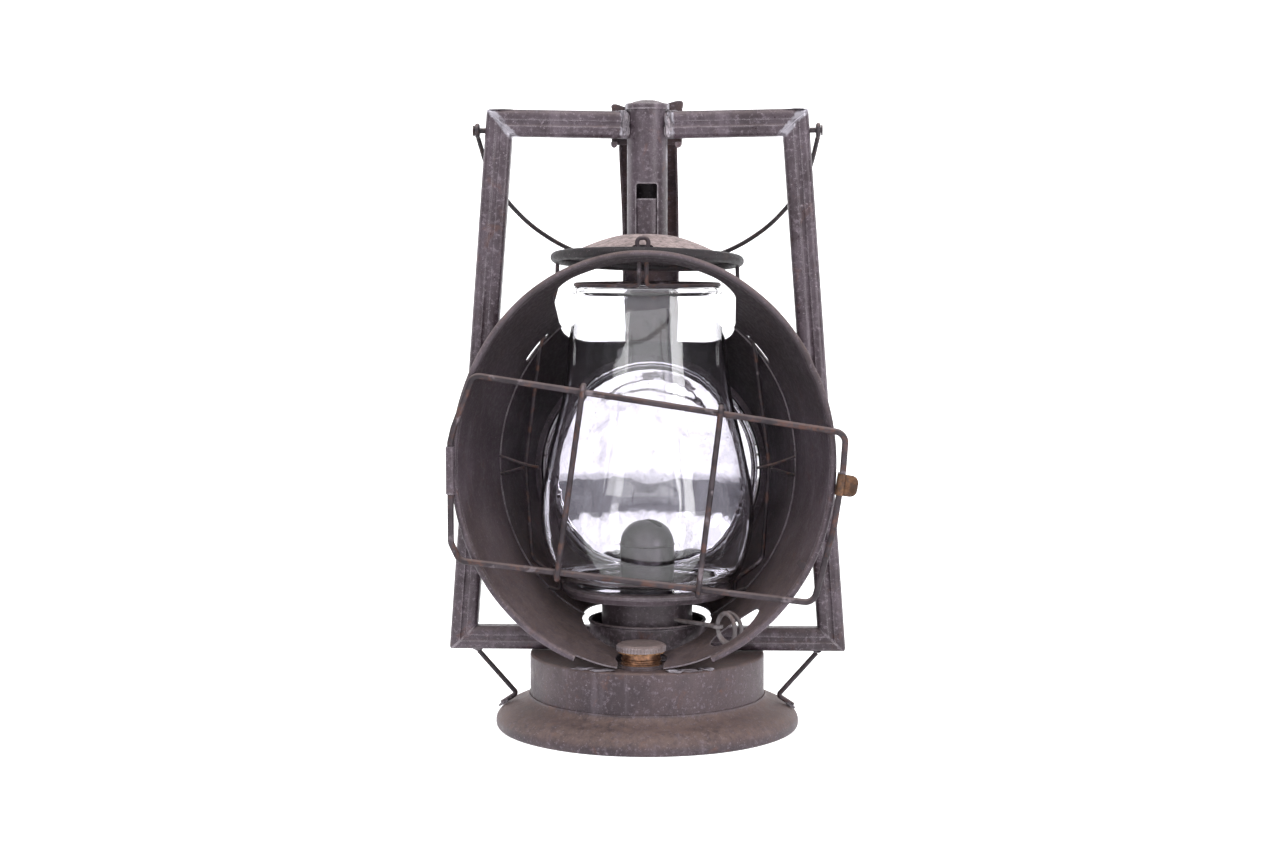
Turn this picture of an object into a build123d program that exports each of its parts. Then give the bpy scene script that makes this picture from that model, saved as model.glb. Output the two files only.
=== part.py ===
from build123d import *
import os
from math import asin, cos, degrees, hypot, pi, radians, sin, tan

# Tubular kerosene lantern with a deep reflector hood, in millimetres.
# Origin: centre of the base ring on the ground. +X right, -Y front, +Z up.

os.makedirs("parts", exist_ok=True)

# ---- driving dimensions ------------------------------------------------------------------------
SHEET = 0.8  # tinplate thickness
GAP = 0.1  # soldered joint between two curved sheets
RUN = 0.08  # radial running clearance of a wire in its sleeve

# fount and base
FOUNT_R = 67.2
FOUNT_TOP = 42.0
FOUNT_BOTTOM = 14.0
BASE_R = 86.8

# filler cap, shown part unscrewed
CAP_X = -1.5
CAP_Y = -48.5
CAP_R = 13.8
CAP_HEAD_BOTTOM = 51.4
CAP_HEAD_TOP = 54.5
SHANK_R = 11.3
SHANK_BOTTOM = 37.4
THREAD_PITCH = 2.5
KNURLS = 44

# burner
DRUM_R = 33.0
DRUM_TOP = 60.4
NECK_R = 26.0
NECK_BOTTOM = 52.0
NECK_TOP = 74.5
CONE_R = 15.5
CONE_TOP = 104.0
DOME_TOP = 118.0
WICK_WIDTH = 16.0
WICK_THICK = 2.6
WICK_TOP = 107.0
WICK_BOTTOM = 28.5

# wick raiser
RAISER_AZIMUTH = -39.4  # from +X, in degrees
RAISER_OFFSET = 4.55  # from the wick's middle plane
RAISER_Z = 63.3
RAISER_R = 1.25
RING_REACH = 64.7
RING_R = 8.4
RING_WIRE = 1.2

# globe cage
PLATE_R = 48.0
PLATE_TOP = 81.0
PLATE_BOTTOM = 75.3
GLOBE_BOTTOM = 81.3
GLOBE_TOP = 250.8
GLOBE_WALL = 1.8
CAGE_WIRE = 1.15
CLIP_WIRE = 0.75

# bell over the globe
BELL_R = 52.0
BELL_BEAD = 2.9
BELL_Z = 266.4
BELL_RISE = 13.4
BELL_PITCH = 5.0  # front edge up, degrees
BELL_ROLL = 1.0  # left edge up, degrees

# globe retainer wire
RETAINER_R = 40.6
RETAINER_WIRE = 1.2
RETAINER_Z = 252.2
RETAINER_LOOP_TOP = 279.8

# air tubes and centre tube
TUBE_WIDTH = 15.3
TUBE_DEPTH = 12.6
LOWER_TUBE_HEIGHT = 13.6
TUBE_CORNER = 3.6
TOP_MID_Z = 341.7  # tube axis where it meets the centre tube
TOP_END_Z = 343.3  # tube axis at the corner
TOP_END_X = 83.4
SIDE_END_X = 105.6
LOWER_Z = 49.7
CENTRE_R = 11.4
CENTRE_BOTTOM = 268.0
CENTRE_TOP = 351.0
LINER_TOP = 300.6

# hood: oval sections of the front cone and the rear cone
HOOD_FRONT = -64.0
HOOD_LAP = 7.5
HOOD_REAR = 62.0
HOOD_TILT_Z = 156.0
WINDOW_R = 50.0
WINDOW_Y = -1.2
RIM_A = 101.8
RIM_B = 113.0
LAP_A = 85.4
LAP_B = 97.0
LAP_Z = 149.0
REAR_R = 70.0
REAR_Z = 140.0
RIM_BEAD = 2.1

# reflector
REFLECTOR_R = 65.4
REFLECTOR_DEPTH = 12.0
REFLECTOR_Y = 64.0
REFLECTOR_THICK = 2.8
PAN_R = 71.2
PAN_REAR = 90.0

# rear handle
HANDLE_PLATE_Y = 12.8
STRAP_THICK = 0.9
STRAP_FLANGE = 5.0
STRAP_HALF = 16.6

# bail
BAIL_X = 96.2
BAIL_Z = 339.0
BAIL_DEPTH = 101.0
BAIL_WIRE = 1.3
BAIL_EYE = 2.9
BAIL_HANG = 50.4  # angle below the horizontal, behind the lantern

# guard
GUARD_Y = -68.8
GUARD_WIRE = 1.75
UPRIGHT_WIRE = 1.6
HINGE_X = -104.3
SLEEVE_LOW = 140.0
SLEEVE_HIGH = 166.0
CATCH_Z = 146.2
CATCH_HEIGHT = 11.6


def finish_part(builder, name):
    """Names a finished piece and writes it."""
    builder.part.label = name
    export_step(builder.part, f"parts/{name}.step")


def largest_bends(points):
    """The largest arc that fits each corner of a route of straight runs."""
    places = [Vector(*p) for p in points]
    bends = []
    for before, here, after in zip(places, places[1:], places[2:]):
        turn = radians((here - before).get_angle(after - here))
        shorter = min((here - before).length, (after - here).length)
        bends.append(0.45 * shorter / tan(turn / 2))
    return bends


def wire_rod(points, radius, bends=None):
    """A round wire along straight runs joined by tangent arcs."""
    with BuildPart() as rod:
        with BuildLine() as route:
            FilletPolyline(*points, radius=bends or largest_bends(points))
        start = Plane(origin=route.line @ 0, z_dir=route.line % 0)
        with BuildSketch(start):
            Circle(radius)
        sweep(path=route.line)
    return rod.part


def mirrored(piece):
    """The same piece on the other side of the lantern's middle plane."""
    return mirror(piece, about=Plane.YZ)


# ---- fount and base ----------------------------------------------------------------------------
lip_r = FOUNT_R + GAP
with BuildPart() as base_ring:
    with BuildSketch(Plane.XZ):
        with BuildLine():
            Polyline((lip_r, 15.4), (lip_r, 18.4), (lip_r + 0.7, 18.4), (lip_r + 0.7, 17.2))
            Spline(
                (lip_r + 0.7, 17.2),
                (lip_r + 7.4, 13.2),
                (lip_r + 15.0, 9.8),
                (BASE_R, 4.0),
                tangents=((0.3, -1), (-0.05, -1)),
            )
            Line((BASE_R, 4.0), (BASE_R, 2.0))
            ThreePointArc((BASE_R, 2.0), (BASE_R - 0.2, 0.8), (BASE_R - 0.9, 0.0))
            Line((BASE_R - 0.9, 0.0), (BASE_R - 3.3, 0.0))
            Line((BASE_R - 3.3, 0.0), (BASE_R - 3.3, 4.6))
            Spline(
                (BASE_R - 3.3, 4.6),
                (lip_r + 13.8, 8.6),
                (lip_r + 6.8, 11.9),
                (lip_r, 15.4),
                tangents=((-0.2, 1), (-1, 0.75)),
            )
        make_face()
    revolve(axis=Axis.Z)
finish_part(base_ring, "base_ring")

with BuildPart() as fount_body:
    with BuildSketch(Plane.XY.offset(FOUNT_BOTTOM)):
        Circle(FOUNT_R)
    extrude(amount=FOUNT_TOP - FOUNT_BOTTOM)
    fillet(fount_body.edges().group_by(Axis.Z)[-1], radius=1.6)
    with BuildSketch(Plane.XY.offset(FOUNT_BOTTOM)):
        Circle(FOUNT_R - SHEET)
    extrude(amount=FOUNT_TOP - FOUNT_BOTTOM - SHEET, mode=Mode.SUBTRACT)
    with BuildSketch(Plane.XY.offset(FOUNT_BOTTOM)):
        Circle(16.0)
        with Locations((CAP_X, CAP_Y)):
            Circle(SHANK_R + 1.2)
    extrude(amount=FOUNT_TOP, mode=Mode.SUBTRACT)
finish_part(fount_body, "fount_body")

with BuildPart() as fount_bottom:
    with BuildSketch(Plane.XZ):
        with BuildLine():
            Polyline((0, 19.0), (46, 19.0), (58, 15.2), (66.3, 15.2), (66.3, 14.4), (57.6, 14.4))
            Polyline((57.6, 14.4), (45.8, 18.2), (0, 18.2), (0, 19.0))
        make_face()
    revolve(axis=Axis.Z)
finish_part(fount_bottom, "fount_bottom")

with BuildPart() as filler_collar:
    with BuildSketch(Plane.XY.offset(38.0)):
        with Locations((CAP_X, CAP_Y)):
            Circle(SHANK_R + 1.15)
            Circle(SHANK_R + 0.35, mode=Mode.SUBTRACT)
    extrude(amount=6.0)
    with BuildSketch(Plane.XY.offset(FOUNT_TOP)):
        with Locations((CAP_X, CAP_Y)):
            Circle(SHANK_R + 2.2)
            Circle(SHANK_R + 0.35, mode=Mode.SUBTRACT)
    extrude(amount=0.9)
finish_part(filler_collar, "filler_collar")

cap_plane = Plane(origin=(CAP_X, CAP_Y, 0))

with BuildPart() as cap_head:
    with BuildSketch(cap_plane.offset(CAP_HEAD_BOTTOM)):
        Circle(CAP_R)
    extrude(amount=CAP_HEAD_TOP - CAP_HEAD_BOTTOM)
    chamfer(cap_head.edges().group_by(Axis.Z)[-1], length=0.5)
    with BuildSketch(cap_plane.offset(CAP_HEAD_TOP)):
        Circle(CAP_R - 0.9)
    extrude(amount=0.7, taper=55)
    with BuildSketch(cap_plane.offset(CAP_HEAD_BOTTOM)):
        with PolarLocations(CAP_R + 0.15, KNURLS):
            Circle(0.62)
    extrude(amount=CAP_HEAD_TOP - CAP_HEAD_BOTTOM, mode=Mode.SUBTRACT)
finish_part(cap_head, "cap_head")

with BuildPart() as cap_shank:
    with BuildSketch(cap_plane.offset(SHANK_BOTTOM)):
        Circle(SHANK_R - 0.7)
        Circle(SHANK_R - 2.2, mode=Mode.SUBTRACT)
    extrude(amount=CAP_HEAD_BOTTOM - SHANK_BOTTOM)
    ridge_count = int((CAP_HEAD_BOTTOM - SHANK_BOTTOM - 2.0) / THREAD_PITCH)
    for i in range(ridge_count):
        with BuildSketch(cap_plane.offset(SHANK_BOTTOM + 1.0 + i * THREAD_PITCH)):
            Circle(SHANK_R)
            Circle(SHANK_R - 1.5, mode=Mode.SUBTRACT)
        extrude(amount=1.5)
    rims = cap_shank.edges().filter_by(GeomType.CIRCLE)
    chamfer(rims.filter_by(lambda edge: abs(edge.radius - SHANK_R) < 0.001), length=0.45)
finish_part(cap_shank, "cap_shank")

with BuildPart() as cap_gasket:
    with BuildSketch(cap_plane.offset(CAP_HEAD_BOTTOM - 0.95)):
        Circle(SHANK_R + 1.6)
        Circle(SHANK_R + 0.1, mode=Mode.SUBTRACT)
    extrude(amount=0.9)
finish_part(cap_gasket, "cap_gasket")

# ---- burner ------------------------------------------------------------------------------------
with BuildPart() as air_drum:
    with BuildSketch(Plane.XY.offset(FOUNT_TOP + GAP)):
        Circle(DRUM_R)
        Circle(DRUM_R - SHEET, mode=Mode.SUBTRACT)
    extrude(amount=DRUM_TOP - FOUNT_TOP - GAP)
    with BuildSketch(Plane.XZ):
        with Locations((DRUM_R, DRUM_TOP)):
            Circle(0.9)
    revolve(axis=Axis.Z)
    with BuildSketch(Plane.YZ.offset(-DRUM_R - 2)):
        with Locations((0, LOWER_Z)):
            RectangleRounded(TUBE_DEPTH - 2.4, LOWER_TUBE_HEIGHT - 2.4, 2.6)
    extrude(amount=2 * DRUM_R + 4, mode=Mode.SUBTRACT)
finish_part(air_drum, "air_drum")

raiser_along = Vector(cos(radians(RAISER_AZIMUTH)), sin(radians(RAISER_AZIMUTH)), 0)
raiser_side = Vector(-sin(radians(RAISER_AZIMUTH)), cos(radians(RAISER_AZIMUTH)), 0)
raiser_start = raiser_side * -RAISER_OFFSET + Vector(0, 0, RAISER_Z)
raiser_plane = Plane(origin=raiser_start, x_dir=(0, 0, 1), z_dir=raiser_along)
wick_plane = Plane(origin=(0, 0, 0), x_dir=raiser_along, z_dir=(0, 0, 1))

with BuildPart() as burner_body:
    with BuildSketch(Plane.XZ):
        with BuildLine():
            Polyline((DRUM_R - SHEET - GAP, NECK_BOTTOM), (NECK_R, NECK_BOTTOM), (NECK_R, NECK_TOP - 1.2))
            Polyline((NECK_R, NECK_TOP - 1.2), (NECK_R + 7.0, NECK_TOP - 0.4), (NECK_R + 7.0, NECK_TOP + 0.4))
            Polyline((NECK_R + 7.0, NECK_TOP + 0.4), (12.0, NECK_TOP + 0.4), (12.0, NECK_TOP - 0.4))
            Polyline((12.0, NECK_TOP - 0.4), (NECK_R - SHEET, NECK_TOP - 0.4), (NECK_R - SHEET, NECK_BOTTOM - SHEET))
            Polyline((NECK_R - SHEET, NECK_BOTTOM - SHEET), (DRUM_R - SHEET - GAP, NECK_BOTTOM - SHEET))
            Line((DRUM_R - SHEET - GAP, NECK_BOTTOM - SHEET), (DRUM_R - SHEET - GAP, NECK_BOTTOM))
        make_face()
    revolve(axis=Axis.Z)
    with BuildSketch(raiser_plane.offset(10)):
        Circle(RAISER_R + RUN)
    extrude(amount=24, mode=Mode.SUBTRACT)
    with BuildSketch(Plane.XY.offset(NECK_TOP - 2)):
        with PolarLocations(19.5, 16):
            Circle(1.5)
    extrude(amount=4, mode=Mode.SUBTRACT)
finish_part(burner_body, "burner_body")

with BuildPart() as wick_tube:
    with BuildSketch(wick_plane.offset(30)):
        SlotOverall(WICK_WIDTH + 2.2, WICK_THICK + 2.2)
        SlotOverall(WICK_WIDTH + 1.0, WICK_THICK + 1.0, mode=Mode.SUBTRACT)
    extrude(amount=WICK_TOP - 1.0 - 30)
    with BuildSketch(wick_plane.offset(RAISER_Z - 4.2)):
        with Locations((-5, -RAISER_OFFSET + 1), (5, -RAISER_OFFSET + 1)):
            Rectangle(3.4, 4.6)
    extrude(amount=8.4, mode=Mode.SUBTRACT)
    with BuildSketch(wick_plane.offset(NECK_TOP - 1.4)):
        Circle(13.0)
        SlotOverall(WICK_WIDTH + 2.0, WICK_THICK + 2.0, mode=Mode.SUBTRACT)
    extrude(amount=0.9)
finish_part(wick_tube, "wick_tube")

with BuildPart() as wick:
    with BuildSketch(wick_plane.offset(WICK_BOTTOM)):
        RectangleRounded(WICK_WIDTH, WICK_THICK, 0.9)
    extrude(amount=WICK_TOP - WICK_BOTTOM)
finish_part(wick, "wick")

with BuildPart() as burner_cone:
    with BuildSketch(Plane.XZ):
        with BuildLine():
            Polyline((17.4, NECK_TOP + 0.5), (CONE_R, NECK_TOP + 2.0), (CONE_R, 92.6), (CONE_R + 0.5, 93.1))
            Polyline((CONE_R + 0.5, 93.1), (CONE_R, 93.6), (CONE_R, 103.4), (CONE_R + 0.6, CONE_TOP), (CONE_R, 104.8))
            Spline((CONE_R, 104.8), (12.4, 112.6), (0, DOME_TOP), tangents=((-0.12, 1), (-1, 0)))
            Line((0, DOME_TOP), (0, DOME_TOP - 0.7))
            Spline((0, DOME_TOP - 0.7), (11.8, 112.1), (CONE_R - 0.7, 104.8), tangents=((1, 0), (0.12, -1)))
            Polyline((CONE_R - 0.7, 104.8), (CONE_R - 0.7, NECK_TOP + 1.6), (16.8, NECK_TOP + 0.5))
            Line((16.8, NECK_TOP + 0.5), (17.4, NECK_TOP + 0.5))
        make_face()
    revolve(axis=Axis.Z)
    with BuildSketch(wick_plane.offset(110.5)):
        SlotOverall(21.0, 5.0)
    extrude(amount=12, mode=Mode.SUBTRACT)
finish_part(burner_cone, "burner_cone")

with BuildPart() as star_wheels:
    for reach in (-5.8, 4.2):
        with BuildSketch(raiser_plane.offset(reach)):
            Circle(2.5)
            with PolarLocations(2.3, 8):
                RegularPolygon(0.95, 3)
            Circle(RAISER_R + 0.02, mode=Mode.SUBTRACT)
        extrude(amount=1.6)
finish_part(star_wheels, "star_wheels")

eye_reach = RING_REACH - RING_R
eye_centre = raiser_start + raiser_along * eye_reach
with BuildPart() as wick_spindle:
    with BuildSketch(raiser_plane.offset(-8)):
        Circle(RAISER_R)
    extrude(amount=eye_reach + 8 - 2.0)
    with BuildSketch(Plane(origin=eye_centre + Vector(0, 0, -0.9))):
        Circle(3.1)
    extrude(amount=1.8)
    with BuildSketch(Plane(origin=eye_centre + Vector(0, 0, -3))):
        Circle(RING_WIRE + 0.25)
    extrude(amount=6, mode=Mode.SUBTRACT)
finish_part(wick_spindle, "wick_spindle")

with BuildPart() as wick_ring:
    for swing in (-16, 0):
        lean = Vector(raiser_along).rotate(Axis.Z, swing)
        ring_plane = Plane(origin=eye_centre, x_dir=lean, z_dir=lean.cross(Vector(0, 0, 1)))
        with BuildSketch(Plane(origin=eye_centre, x_dir=lean, z_dir=(0, 0, 1))):
            Circle(RING_WIRE)
        revolve(axis=Axis(eye_centre + lean * RING_R, ring_plane.z_dir))
finish_part(wick_ring, "wick_ring")

# ---- globe cage --------------------------------------------------------------------------------
with BuildPart() as globe_plate:
    with BuildSketch(Plane.XZ):
        with BuildLine():
            Polyline((16.4, 77.2), (40.2, 77.2), (40.2, 80.6), (PLATE_R - 1.2, PLATE_TOP), (PLATE_R, PLATE_TOP - 0.9))
            Polyline((PLATE_R, PLATE_TOP - 0.9), (PLATE_R, 78.4), (PLATE_R - 2.2, PLATE_BOTTOM))
            Polyline((PLATE_R - 2.2, PLATE_BOTTOM), (PLATE_R - 3.0, PLATE_BOTTOM), (PLATE_R - 1.0, 78.6))
            Polyline((PLATE_R - 1.0, 78.6), (PLATE_R - 1.0, 79.9), (41.0, 79.7), (41.0, 76.4), (16.4, 76.4))
            Line((16.4, 76.4), (16.4, 77.2))
        make_face()
    revolve(axis=Axis.Z)
    with BuildSketch(Plane.XY.offset(74)):
        for ring_r, holes in ((22.5, 24), (28.5, 30), (34.5, 36)):
            with PolarLocations(ring_r, holes):
                Circle(1.15)
    extrude(amount=5, mode=Mode.SUBTRACT)
finish_part(globe_plate, "globe_plate")

globe_outline = [(41.4, 83.0), (46.0, 84.0), (52.3, 86.4), (55.9, 94.5), (59.3, 106.5), (60.8, 120.0)]
globe_outline += [(60.2, 135.0), (57.0, 151.0), (52.9, 169.0), (48.6, 187.0), (46.4, 203.0), (44.6, 219.0)]
globe_outline += [(42.6, 238.0), (42.1, 246.6)]
globe_inside = [(r - GLOBE_WALL, z) for r, z in globe_outline[3:]]
with BuildPart() as globe:
    with BuildSketch(Plane.XZ):
        with BuildLine():
            Polyline((39.2, GLOBE_BOTTOM), (40.9, GLOBE_BOTTOM), (41.4, 83.0))
            Spline(*globe_outline, tangents=((1, 0.2), (0, 1)))
            Polyline((42.1, 246.6), (43.2, 248.2), (43.2, 249.6), (42.2, GLOBE_TOP), (40.6, GLOBE_TOP))
            Polyline((40.6, GLOBE_TOP), (39.9, 249.9), (40.3, 246.6))
            Spline(*reversed(globe_inside), (50.6, 87.8), (45.2, 85.8), (40.0, 85.0), tangents=((0, -1), (-1, -0.1)))
            Polyline((40.0, 85.0), (39.2, 84.2), (39.2, GLOBE_BOTTOM))
        make_face()
    revolve(axis=Axis.Z)
finish_part(globe, "globe")

bell_shift = BELL_RISE * sin(radians(BELL_PITCH))
bell_plane = Plane(origin=(0, -bell_shift, BELL_Z)).rotated((-BELL_PITCH, BELL_ROLL, 0))
with BuildPart() as bell:
    with BuildSketch(Plane(origin=bell_plane.origin, x_dir=bell_plane.x_dir, z_dir=-bell_plane.y_dir)):
        with BuildLine():
            Spline((12.4, BELL_RISE), (24.2, 10.8), (36.2, 6.0), (BELL_R, 0.8), tangents=((1, -0.06), (1, -0.12)))
            Line((BELL_R, 0.8), (BELL_R, 0.0))
            Spline((BELL_R, 0.0), (36.0, 5.2), (23.9, 10.0), (12.4, BELL_RISE - SHEET), tangents=((-1, 0.12), (-1, 0.06)))
            Line((12.4, BELL_RISE - SHEET), (12.4, BELL_RISE))
        make_face()
    revolve(axis=Axis(bell_plane.origin, bell_plane.z_dir))
    with BuildSketch(Plane(origin=bell_plane.origin, x_dir=bell_plane.x_dir, z_dir=-bell_plane.y_dir)):
        with Locations((BELL_R - 0.1, 0)):
            Circle(BELL_BEAD)
    revolve(axis=Axis(bell_plane.origin, bell_plane.z_dir))
    with BuildSketch(Plane.XY.offset(BELL_Z - 20)):
        with Locations((-1.0, -RETAINER_R)):
            SlotOverall(11.6, 4.2)
    extrude(amount=40, mode=Mode.SUBTRACT)
finish_part(bell, "bell")


def cage_wire(side):
    """One lifting wire, soldered under the bell's rim above and hooked on the globe plate's rim below."""
    rim_z = BELL_Z - side * BELL_R * sin(radians(BELL_ROLL))
    route = [
        (side * (BELL_R - 1.0), 0, rim_z - BELL_BEAD - GAP),
        (side * 51.4, 0, 251.0),
        (side * 61.2, 0, 215.0),
        (side * 69.6, 0, 150.0),
        (side * 66.0, 0, 95.0),
        (side * 50.8, 0, 83.6),
        (side * 49.6, 0, 76.4),
        (side * 56.5, 0, 78.4),
    ]
    bends = [8.0, 60.0, 90.0, 8.0, 4.0, 1.9]
    return wire_rod(route, CAGE_WIRE, bends)


with BuildPart() as cage_wires:
    add(cage_wire(-1))
    add(cage_wire(1))
finish_part(cage_wires, "cage_wires")


loop_x = -1.0
with BuildPart() as retainer_ring:
    with BuildSketch(Plane.XZ):
        with Locations((RETAINER_R, RETAINER_Z)):
            Circle(RETAINER_WIRE)
    revolve(axis=Axis.Z)
    with BuildSketch(Plane.XY.offset(RETAINER_Z - 3)):
        with Locations((loop_x, -RETAINER_R)):
            Rectangle(13.0, 8.0)
    extrude(amount=6, mode=Mode.SUBTRACT)

loop_low = RETAINER_Z + 20
loop_top = RETAINER_LOOP_TOP - RETAINER_WIRE
loop_route = [
    (loop_x - 6.9, -RETAINER_R, RETAINER_Z),
    (loop_x - 2.0, -RETAINER_R, RETAINER_Z),
    (loop_x - 2.0, -RETAINER_R, loop_low),
    (loop_x - 3.1, -RETAINER_R, loop_low + 3.0),
    (loop_x - 3.1, -RETAINER_R, loop_top),
    (loop_x + 3.1, -RETAINER_R, loop_top),
    (loop_x + 3.1, -RETAINER_R, loop_low + 3.0),
    (loop_x + 2.0, -RETAINER_R, loop_low),
    (loop_x + 2.0, -RETAINER_R, RETAINER_Z),
    (loop_x + 6.9, -RETAINER_R, RETAINER_Z),
]
with BuildPart() as globe_retainer:
    add(retainer_ring.part)
    add(wire_rod(loop_route, RETAINER_WIRE, [2.6, 2.5, 2.5, 2.5, 2.5, 2.5, 2.5, 2.6]))
finish_part(globe_retainer, "globe_retainer")

# ---- air tubes ---------------------------------------------------------------------------------
corner_top = Vector(TOP_END_X, 0, TOP_END_Z)
corner_low = Vector(SIDE_END_X, 0, LOWER_Z)
tube_mid = Vector(0, 0, TOP_MID_Z)
drum_mid = Vector(0, 0, LOWER_Z)
top_along = (corner_top - tube_mid).normalized()
side_along = (corner_low - corner_top).normalized()
low_along = (drum_mid - corner_low).normalized()
top_mitre = Plane(origin=corner_top, z_dir=top_along + side_along)
low_mitre = Plane(origin=corner_low, z_dir=side_along + low_along)


def hollow_tube(start, along, length, height):
    """A straight run of drawn tube with a shallow pressed groove in its front and rear faces."""
    with BuildPart() as run:
        with BuildSketch(Plane(origin=start, x_dir=(0, 1, 0), z_dir=along)):
            RectangleRounded(TUBE_DEPTH, height, TUBE_CORNER)
            with Locations((TUBE_DEPTH / 2 + 1.8, 0), (-TUBE_DEPTH / 2 - 1.8, 0)):
                Circle(2.5, mode=Mode.SUBTRACT)
            offset(amount=-SHEET, mode=Mode.SUBTRACT)
        extrude(amount=length)
    return run.part


def side_face_x(z):
    """Where the outer face of the right side tube is at a height."""
    slope = (SIDE_END_X - TOP_END_X) / (TOP_END_Z - LOWER_Z)
    return TOP_END_X + (TOP_END_Z - z) * slope + TUBE_WIDTH / 2 * hypot(1, slope)


def frame_silhouette():
    """The outline of one side of the tube frame, with its outer corners rounded."""
    top_z = TOP_END_Z + TUBE_WIDTH / 2
    low_z = LOWER_Z - LOWER_TUBE_HEIGHT / 2
    with BuildPart() as block:
        with BuildSketch(Plane.XZ.offset(-20)):
            with BuildLine():
                FilletPolyline(
                    (-5, top_z),
                    (side_face_x(top_z), top_z),
                    (side_face_x(low_z), low_z),
                    (-5, low_z),
                    radius=[2.2, 2.2],
                )
                Line((-5, low_z), (-5, top_z))
            make_face()
        extrude(amount=40)
    return block.part


silhouette = frame_silhouette()

with BuildPart() as top_tube_right:
    add(hollow_tube(tube_mid, top_along, TOP_END_X + 14, TUBE_WIDTH))
    split(bisect_by=top_mitre, keep=Keep.BOTTOM)
    add(silhouette, mode=Mode.INTERSECT)
    with BuildSketch(Plane.XY.offset(300)):
        Circle(CENTRE_R + GAP)
    extrude(amount=60, mode=Mode.SUBTRACT)

with BuildPart() as side_tube_right:
    side_length = (corner_low - corner_top).length
    add(hollow_tube(corner_top - side_along * 14, side_along, side_length + 28, TUBE_WIDTH))
    split(bisect_by=top_mitre, keep=Keep.TOP)
    split(bisect_by=low_mitre, keep=Keep.BOTTOM)
    add(silhouette, mode=Mode.INTERSECT)

with BuildPart() as lower_tube_right:
    add(hollow_tube(corner_low - low_along * 14, low_along, SIDE_END_X + 14, LOWER_TUBE_HEIGHT))
    split(bisect_by=low_mitre, keep=Keep.TOP)
    add(silhouette, mode=Mode.INTERSECT)
    with BuildSketch(Plane.XY.offset(30)):
        Circle(DRUM_R + GAP)
    extrude(amount=40, mode=Mode.SUBTRACT)

for name, tube in (("top_tube", top_tube_right), ("side_tube", side_tube_right), ("lower_tube", lower_tube_right)):
    finish_part(tube, name + "_right")
    with BuildPart() as other_tube:
        add(mirrored(tube.part))
    finish_part(other_tube, name + "_left")

with BuildPart() as centre_tube:
    with BuildSketch(Plane.XY.offset(CENTRE_BOTTOM)):
        Circle(CENTRE_R)
        Circle(CENTRE_R - SHEET, mode=Mode.SUBTRACT)
    extrude(amount=CENTRE_TOP + 1.4 - CENTRE_BOTTOM)
    with BuildSketch(Plane.XZ):
        with Locations((0, CENTRE_BOTTOM + 18.5)):
            RectangleRounded(11.7, 45.0, 1.2)
    extrude(amount=CENTRE_R + 2, mode=Mode.SUBTRACT)
    with BuildSketch(Plane.YZ.offset(-CENTRE_R - 2)):
        with Locations((0, TOP_MID_Z)):
            RectangleRounded(TUBE_DEPTH - 3.0, TUBE_WIDTH - 3.0, 2.6)
    extrude(amount=2 * CENTRE_R + 4, mode=Mode.SUBTRACT)
finish_part(centre_tube, "centre_tube")

with BuildPart() as tube_liner:
    with BuildSketch(Plane.XY.offset(CENTRE_BOTTOM + GAP)):
        Circle(CENTRE_R - SHEET - GAP)
        Circle(CENTRE_R - 2 * SHEET - GAP, mode=Mode.SUBTRACT)
    extrude(amount=LINER_TOP - CENTRE_BOTTOM - GAP)
finish_part(tube_liner, "tube_liner")

with BuildPart() as tube_cap:
    with BuildSketch(Plane.XZ):
        with BuildLine():
            Spline((0, 356.0), (5.0, 355.7), (9.0, 354.5), (12.1, 353.9), tangents=((1, 0), (1, -0.05)))
            Polyline((12.1, 353.9), (12.5, 353.4), (12.5, 350.6), (11.6, 350.6), (11.6, 352.6), (0, 352.6), (0, 356.0))
        make_face()
    revolve(axis=Axis.Z)
finish_part(tube_cap, "tube_cap")

with BuildPart() as brace_wires:
    brace_route = [(97.2, 0, 41.4), (75.3, 0, 16.6), (84.0, 0, 10.9)]
    brace = wire_rod(brace_route, 1.4, [1.7])
    add(brace)
    add(mirrored(brace))
finish_part(brace_wires, "brace_wires")

# ---- hood --------------------------------------------------------------------------------------
def hood_cone(sections, shrink):
    """A cone through oval sections, each given as (y, half width, half height, centre height)."""
    with BuildPart() as cone:
        for y, half_width, half_height, centre_z in sections:
            with BuildSketch(Plane.XZ.offset(-y)):
                with Locations((0, centre_z)):
                    Ellipse(half_width - shrink, half_height - shrink)
        loft(ruled=True)
    return cone.part


def hood_openings():
    """What is cut from both hoods: globe window, burner hole, filler hole, raiser hole and wire slots."""
    with BuildPart() as cuts:
        with BuildSketch(Plane.XY.offset(175)):
            with Locations((0, -28.6)):
                RectangleRounded(2 * WINDOW_R, 54.8, 13)
            with Locations((0, WINDOW_Y - 20)):
                Rectangle(2 * WINDOW_R, 40)
            with Locations((0, WINDOW_Y)):
                Circle(WINDOW_R)
            with Locations((-63, 0), (63, 0)):
                SlotOverall(13.0, 4.2)
        extrude(amount=110)
        with BuildSketch(Plane.XY.offset(30)):
            Circle(DRUM_R + 4.0)
            with Locations((CAP_X, CAP_Y)):
                Circle(CAP_R + 0.6)
            with Locations((CAP_X, CAP_Y - 12)):
                Rectangle(25.4, 24)
            with Locations((50.0, -43.5)):
                Circle(13.5)
        extrude(amount=70)
    return cuts.part


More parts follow.
